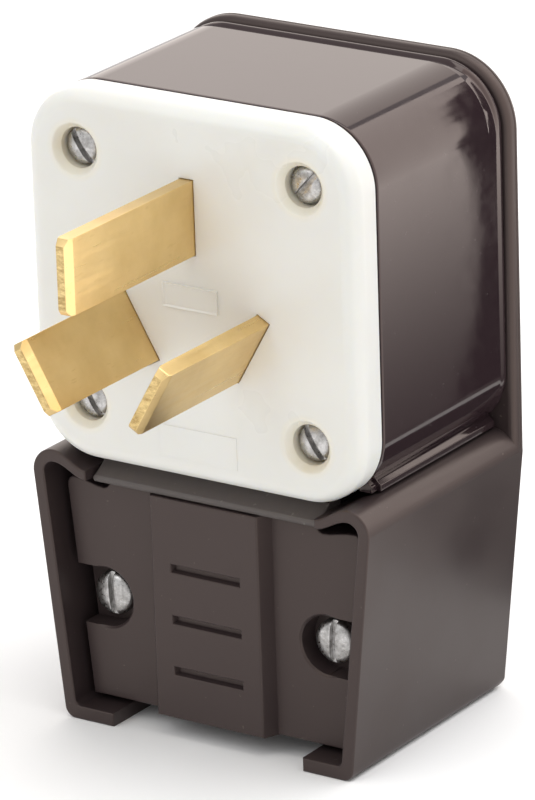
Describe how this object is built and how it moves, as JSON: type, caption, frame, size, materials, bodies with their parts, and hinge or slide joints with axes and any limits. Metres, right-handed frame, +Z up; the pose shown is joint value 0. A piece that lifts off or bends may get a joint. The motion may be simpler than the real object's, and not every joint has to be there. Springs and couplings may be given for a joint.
{
  "type": "angle plug",
  "caption": "Right-angle mains plug with straight flat blades on a white face, a black two-part shell and a screw-down clamp for the cord at its foot.",
  "frame": {"origin": "middle of the part's box on the plane that the foot of the shell stands on", "axes": "+X to the right seen from the white face, +Y from the face to the flat back, +Z up, away from the cord"},
  "size_m": [0.0664, 0.0824, 0.1115],
  "materials": {
    "matt_shell": "brown-black moulded plastic, satin",
    "glossy_shell": "brown-black moulded plastic, polished",
    "white_face": "milky white nylon",
    "insulator": "brown phenolic",
    "blade_brass": "rolled brass, sheared ends",
    "terminal_brass": "brass",
    "zinc_steel": "zinc-plated steel"
  },
  "bodies": {
    "housing": {"rear_shell": "matt_shell", "upper_box": "glossy_shell", "threaded_insert_upper_left": "terminal_brass", "threaded_insert_upper_right": "terminal_brass", "threaded_insert_lower_left": "terminal_brass", "threaded_insert_lower_right": "terminal_brass", "clamp_nut_left": "zinc_steel", "clamp_nut_right": "zinc_steel"},
    "clamp": {"clamp_plate": "matt_shell"},
    "clamp_screw_left": {"clamp_screw_left": "zinc_steel"},
    "clamp_screw_right": {"clamp_screw_right": "zinc_steel"},
    "face": {"face_plate": "white_face", "blade_insulator": "insulator", "neutral_blade": "blade_brass", "neutral_lug": "terminal_brass", "hot_left_blade": "blade_brass", "hot_left_lug": "terminal_brass", "hot_right_blade": "blade_brass", "hot_right_lug": "terminal_brass"},
    "face_screw_upper_left": {"face_screw_upper_left": "zinc_steel"},
    "face_screw_upper_right": {"face_screw_upper_right": "zinc_steel"},
    "face_screw_lower_left": {"face_screw_lower_left": "zinc_steel"},
    "face_screw_lower_right": {"face_screw_lower_right": "zinc_steel"},
    "neutral_pressure_plate": {"neutral_pressure_plate": "zinc_steel"},
    "neutral_terminal_screw": {"neutral_terminal_screw": "zinc_steel"},
    "hot_left_pressure_plate": {"hot_left_pressure_plate": "zinc_steel"},
    "hot_left_terminal_screw": {"hot_left_terminal_screw": "zinc_steel"},
    "hot_right_pressure_plate": {"hot_right_pressure_plate": "zinc_steel"},
    "hot_right_terminal_screw": {"hot_right_terminal_screw": "zinc_steel"}
  },
  "joints": [
    {"name": "clamp_close", "type": "slide", "parent": "housing", "child": "clamp", "axis": [0, 1, 0], "range_m": [0, 0.009]},
    {"name": "clamp_screw_left_turn", "type": "hinge", "parent": "clamp", "child": "clamp_screw_left", "pos_m": [-0.022, 0.0014, 0.0214], "axis": [0, 1, 0], "range_deg": [0, 4100]},
    {"name": "clamp_screw_right_turn", "type": "hinge", "parent": "clamp", "child": "clamp_screw_right", "pos_m": [0.022, 0.0014, 0.0214], "axis": [0, 1, 0], "range_deg": [0, 4100]},
    {"name": "face_withdraw", "type": "slide", "parent": "housing", "child": "face", "axis": [0, -1, 0], "range_m": [0, 0.03]},
    {"name": "face_screw_upper_left_turn", "type": "hinge", "parent": "face", "child": "face_screw_upper_left", "pos_m": [-0.0218, -0.0026, 0.1008], "axis": [0, 1, 0], "continuous": true},
    {"name": "face_screw_upper_right_turn", "type": "hinge", "parent": "face", "child": "face_screw_upper_right", "pos_m": [0.0218, -0.0026, 0.1008], "axis": [0, 1, 0], "continuous": true},
    {"name": "face_screw_lower_left_turn", "type": "hinge", "parent": "face", "child": "face_screw_lower_left", "pos_m": [-0.0218, -0.0026, 0.0572], "axis": [0, 1, 0], "continuous": true},
    {"name": "face_screw_lower_right_turn", "type": "hinge", "parent": "face", "child": "face_screw_lower_right", "pos_m": [0.0218, -0.0026, 0.0572], "axis": [0, 1, 0], "continuous": true},
    {"name": "neutral_plate_close", "type": "slide", "parent": "face", "child": "neutral_pressure_plate", "axis": [1, 0, 0], "range_m": [0, 0.0036]},
    {"name": "neutral_terminal_screw_turn", "type": "hinge", "parent": "neutral_pressure_plate", "child": "neutral_terminal_screw", "pos_m": [-0.0076, 0.0123, 0.0927], "axis": [1, 0, 0], "range_deg": [0, 1640]},
    {"name": "hot_left_plate_close", "type": "slide", "parent": "face", "child": "hot_left_pressure_plate", "axis": [0.866, 0, 0.5], "range_m": [0, 0.0036]},
    {"name": "hot_left_terminal_screw_turn", "type": "hinge", "parent": "hot_left_pressure_plate", "child": "hot_left_terminal_screw", "pos_m": [-0.01749, 0.0123, 0.0683], "axis": [0.866, 0, 0.5], "range_deg": [0, 1640]},
    {"name": "hot_right_plate_close", "type": "slide", "parent": "face", "child": "hot_right_pressure_plate", "axis": [-0.866, 0, 0.5], "range_m": [0, 0.0036]},
    {"name": "hot_right_terminal_screw_turn", "type": "hinge", "parent": "hot_right_pressure_plate", "child": "hot_right_terminal_screw", "pos_m": [0.01749, 0.0123, 0.0683], "axis": [-0.866, 0, 0.5], "range_deg": [0, 1640]}
  ],
  "couplings": [
    {"joint": "clamp_screw_left_turn", "follows": "clamp_close", "rad_per_m": 7915.8},
    {"joint": "clamp_screw_right_turn", "follows": "clamp_close", "rad_per_m": 7915.8},
    {"joint": "neutral_terminal_screw_turn", "follows": "neutral_plate_close", "rad_per_m": 7915.8},
    {"joint": "hot_left_terminal_screw_turn", "follows": "hot_left_plate_close", "rad_per_m": 7915.8},
    {"joint": "hot_right_terminal_screw_turn", "follows": "hot_right_plate_close", "rad_per_m": 7915.8}
  ]
}
